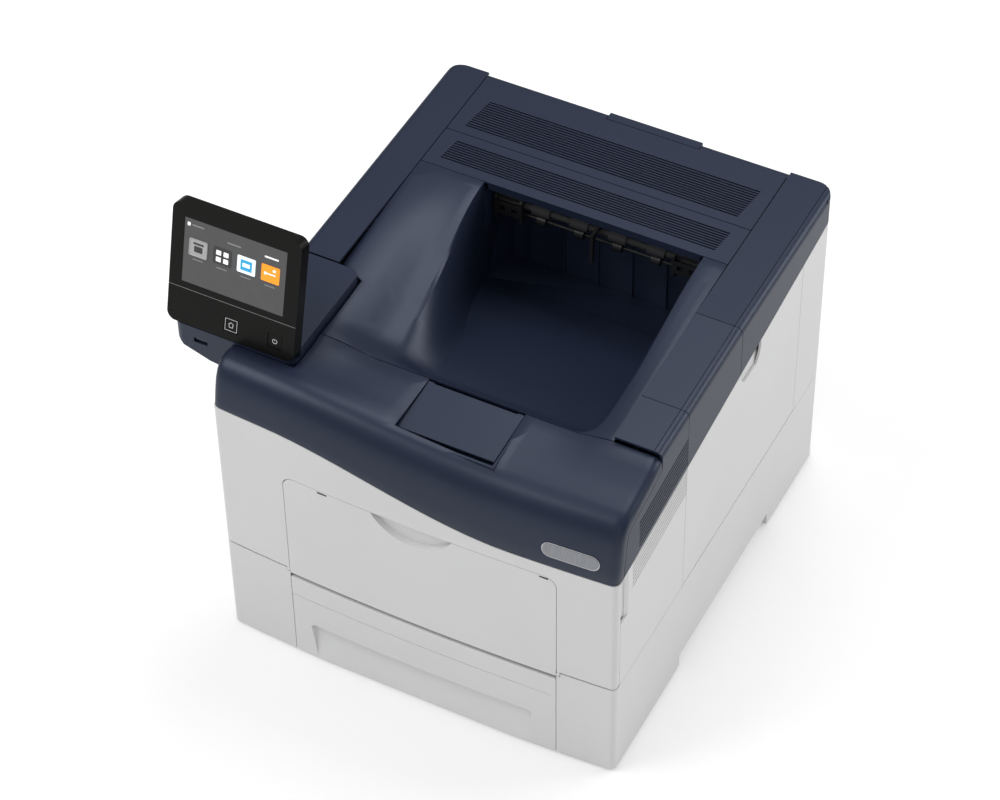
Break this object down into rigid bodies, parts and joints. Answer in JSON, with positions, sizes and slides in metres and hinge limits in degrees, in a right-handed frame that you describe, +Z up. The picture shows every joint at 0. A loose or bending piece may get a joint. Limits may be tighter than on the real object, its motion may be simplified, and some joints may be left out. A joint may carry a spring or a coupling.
{
  "type": "laser printer",
  "caption": "Desktop laser printer with a tilting touch panel, sunken output tray, front bypass door, pull-out paper cassette and opening toner, front and rear doors",
  "frame": {"origin": "On the floor at the centre of the body's footprint, +Z up", "axes": "+X to the printer's right as seen from its front, +Y to the rear, +Z up; the front faces -Y"},
  "size_m": [0.4715, 0.469, 0.4647],
  "materials": {
    "pale": "fine-textured off-white cover",
    "navy": "satin navy cover",
    "foot": "dark rubber foot",
    "steel": "zinc-coated sheet",
    "dark": "black moulding",
    "drum": "coated drum",
    "rubber": "roller rubber",
    "brass": "turned pinion",
    "gear": "natural gear plastic",
    "board": "green circuit board",
    "bezel": "black panel face",
    "screen": "dark touch screen",
    "grey": "grey paper path moulding"
  },
  "bodies": {
    "chassis": {"base_pan": "pale", "rubber_feet": "foot", "left_panel": "pale", "right_panel": "pale", "vent_cowl": "navy", "left_top_cover": "navy", "right_top_cover": "navy", "rear_top_panel": "navy", "exit_lid": "navy", "output_tray": "navy", "rear_cover": "pale", "engine_frame": "steel", "scanner_unit": "dark", "belt_unit": "dark", "imaging_units": "dark", "toner_1": "dark", "toner_2": "dark", "toner_3": "dark", "toner_4": "dark", "fuser_frame": "dark", "main_motor": "steel", "power_supply": "steel", "controller_board": "board", "fan_frame": "dark", "exit_unit": "dark", "pedestal": "navy"},
    "display": {"display": "bezel", "screen": "screen"},
    "home_button": {"home_button": "bezel"},
    "power_button": {"power_button": "bezel"},
    "front_door": {"front_cover": "navy", "front_panel": "pale"},
    "paper_stop": {"paper_stop": "navy"},
    "bypass_tray": {"bypass_tray": "pale"},
    "bypass_extension": {"bypass_extension": "grey"},
    "bypass_guide_left": {"bypass_guide_left": "grey"},
    "bypass_guide_right": {"bypass_guide_right": "grey"},
    "cassette": {"cassette": "grey", "cassette_front": "pale"},
    "lift_plate": {"lift_plate": "steel"},
    "paper_guide_left": {"paper_guide_left": "grey"},
    "paper_guide_right": {"paper_guide_right": "grey"},
    "end_guide": {"end_guide": "grey"},
    "side_door": {"side_door": "pale", "side_door_trim": "navy"},
    "rear_door": {"rear_door": "navy"},
    "drum_1": {"drum_1": "drum"},
    "drum_2": {"drum_2": "drum"},
    "drum_3": {"drum_3": "drum"},
    "drum_4": {"drum_4": "drum"},
    "heat_roller": {"heat_roller": "rubber"},
    "pressure_roller": {"pressure_roller": "rubber"},
    "motor_pinion": {"motor_pinion": "brass"},
    "drive_gear": {"drive_gear": "gear"},
    "fan_rotor": {"fan_rotor": "dark"},
    "exit_drive_shaft": {"exit_drive_shaft": "rubber"},
    "exit_pinch_shaft": {"exit_pinch_shaft": "dark"},
    "exit_flag": {"exit_flag": "dark"},
    "pickup_roller": {"pickup_roller": "rubber"},
    "registration_roller": {"registration_roller": "steel"}
  },
  "joints": [
    {"name": "display_tilt", "type": "hinge", "parent": "chassis", "child": "display", "pos_m": [-0.201, -0.17195, 0.35539], "axis": [-1, 0, 0], "range_deg": [0, 75]},
    {"name": "home_press", "type": "slide", "parent": "display", "child": "home_button", "axis": [0, 0.9688, -0.2478], "range_m": [0, 0.001], "stiffness_N_per_m": 400, "springref_m": -0.001},
    {"name": "power_press", "type": "slide", "parent": "display", "child": "power_button", "axis": [0, 0.9688, -0.2478], "range_m": [0, 0.001], "stiffness_N_per_m": 400, "springref_m": -0.001},
    {"name": "front_door_swing", "type": "hinge", "parent": "chassis", "child": "front_door", "pos_m": [0, -0.23, 0.125], "axis": [1, 0, 0], "range_deg": [0, 75]},
    {"name": "paper_stop_flip", "type": "hinge", "parent": "front_door", "child": "paper_stop", "pos_m": [0.022, -0.14781, 0.33152], "axis": [-1, 0, 0], "range_deg": [0, 95]},
    {"name": "bypass_drop", "type": "hinge", "parent": "front_door", "child": "bypass_tray", "pos_m": [0.0068, -0.2315, 0.115], "axis": [-1, 0, 0], "range_deg": [-90, 0]},
    {"name": "bypass_extend", "type": "slide", "parent": "bypass_tray", "child": "bypass_extension", "axis": [0, 0, 1], "range_m": [0, 0.065]},
    {"name": "bypass_guide_left_slide", "type": "slide", "parent": "bypass_tray", "child": "bypass_guide_left", "axis": [1, 0, 0], "range_m": [0, 0.05]},
    {"name": "bypass_guide_right_slide", "type": "slide", "parent": "bypass_tray", "child": "bypass_guide_right", "axis": [-1, 0, 0], "range_m": [0, 0.05]},
    {"name": "cassette_slide", "type": "slide", "parent": "chassis", "child": "cassette", "axis": [0, 1, 0], "range_m": [-0.3, 0]},
    {"name": "lift_plate_tilt", "type": "hinge", "parent": "cassette", "child": "lift_plate", "pos_m": [0.005, -0.0164, 0.0105], "axis": [-1, 0, 0], "range_deg": [0, 12]},
    {"name": "paper_guide_left_slide", "type": "slide", "parent": "cassette", "child": "paper_guide_left", "axis": [1, 0, 0], "range_m": [0, 0.03]},
    {"name": "paper_guide_right_slide", "type": "slide", "parent": "cassette", "child": "paper_guide_right", "axis": [-1, 0, 0], "range_m": [0, 0.03]},
    {"name": "end_guide_slide", "type": "slide", "parent": "cassette", "child": "end_guide", "axis": [0, -1, 0], "range_m": [0, 0.055]},
    {"name": "side_door_swing", "type": "hinge", "parent": "chassis", "child": "side_door", "pos_m": [0.2001, 0.035, 0.1194], "axis": [0, 1, 0], "range_deg": [0, 85]},
    {"name": "rear_door_swing", "type": "hinge", "parent": "chassis", "child": "rear_door", "pos_m": [0, 0.2286, 0.0944], "axis": [-1, 0, 0], "range_deg": [0, 70]},
    {"name": "drive_gear_spin", "type": "hinge", "parent": "chassis", "child": "drive_gear", "pos_m": [-0.174, -0.00228, 0.19429], "axis": [1, 0, 0], "continuous": true},
    {"name": "motor_pinion_spin", "type": "hinge", "parent": "chassis", "child": "motor_pinion", "pos_m": [-0.174, 0.04, 0.226], "axis": [1, 0, 0], "continuous": true},
    {"name": "drum_1_spin", "type": "hinge", "parent": "chassis", "child": "drum_1", "pos_m": [0.0065, -0.0907, 0.19359], "axis": [1, 0, 0], "continuous": true},
    {"name": "drum_2_spin", "type": "hinge", "parent": "chassis", "child": "drum_2", "pos_m": [0.0065, -0.04179, 0.1832], "axis": [1, 0, 0], "continuous": true},
    {"name": "drum_3_spin", "type": "hinge", "parent": "chassis", "child": "drum_3", "pos_m": [0.0065, 0.00711, 0.1728], "axis": [1, 0, 0], "continuous": true},
    {"name": "drum_4_spin", "type": "hinge", "parent": "chassis", "child": "drum_4", "pos_m": [0.0065, 0.05602, 0.16241], "axis": [1, 0, 0], "continuous": true},
    {"name": "heat_roller_spin", "type": "hinge", "parent": "chassis", "child": "heat_roller", "pos_m": [0.0065, 0.152, 0.164], "axis": [1, 0, 0], "continuous": true},
    {"name": "pressure_roller_spin", "type": "hinge", "parent": "chassis", "child": "pressure_roller", "pos_m": [0.0065, 0.152, 0.1377], "axis": [1, 0, 0], "continuous": true},
    {"name": "fan_spin", "type": "hinge", "parent": "chassis", "child": "fan_rotor", "pos_m": [0.1705, 0.221, 0.19], "axis": [0, 1, 0], "continuous": true},
    {"name": "exit_drive_spin", "type": "hinge", "parent": "chassis", "child": "exit_drive_shaft", "pos_m": [0.018, 0.106, 0.323], "axis": [1, 0, 0], "continuous": true},
    {"name": "exit_pinch_spin", "type": "hinge", "parent": "chassis", "child": "exit_pinch_shaft", "pos_m": [0.018, 0.106, 0.312], "axis": [1, 0, 0], "continuous": true},
    {"name": "exit_flag_swing", "type": "hinge", "parent": "chassis", "child": "exit_flag", "pos_m": [0.0185, 0.1155, 0.328], "axis": [-1, 0, 0], "range_deg": [0, 20]},
    {"name": "pickup_spin", "type": "hinge", "parent": "chassis", "child": "pickup_roller", "pos_m": [0.0068, -0.15, 0.124], "axis": [1, 0, 0], "continuous": true},
    {"name": "registration_spin", "type": "hinge", "parent": "chassis", "child": "registration_roller", "pos_m": [0.0068, -0.176, 0.14], "axis": [1, 0, 0], "continuous": true}
  ],
  "couplings": [
    {"joint": "motor_pinion_spin", "follows": "drive_gear_spin", "ratio": -4},
    {"joint": "drum_2_spin", "follows": "drum_1_spin", "ratio": 1},
    {"joint": "drum_3_spin", "follows": "drum_1_spin", "ratio": 1},
    {"joint": "drum_4_spin", "follows": "drum_1_spin", "ratio": 1},
    {"joint": "pressure_roller_spin", "follows": "heat_roller_spin", "ratio": -1},
    {"joint": "exit_pinch_spin", "follows": "exit_drive_spin", "ratio": -1},
    {"joint": "bypass_guide_right_slide", "follows": "bypass_guide_left_slide", "ratio": 1},
    {"joint": "paper_guide_right_slide", "follows": "paper_guide_left_slide", "ratio": 1}
  ]
}
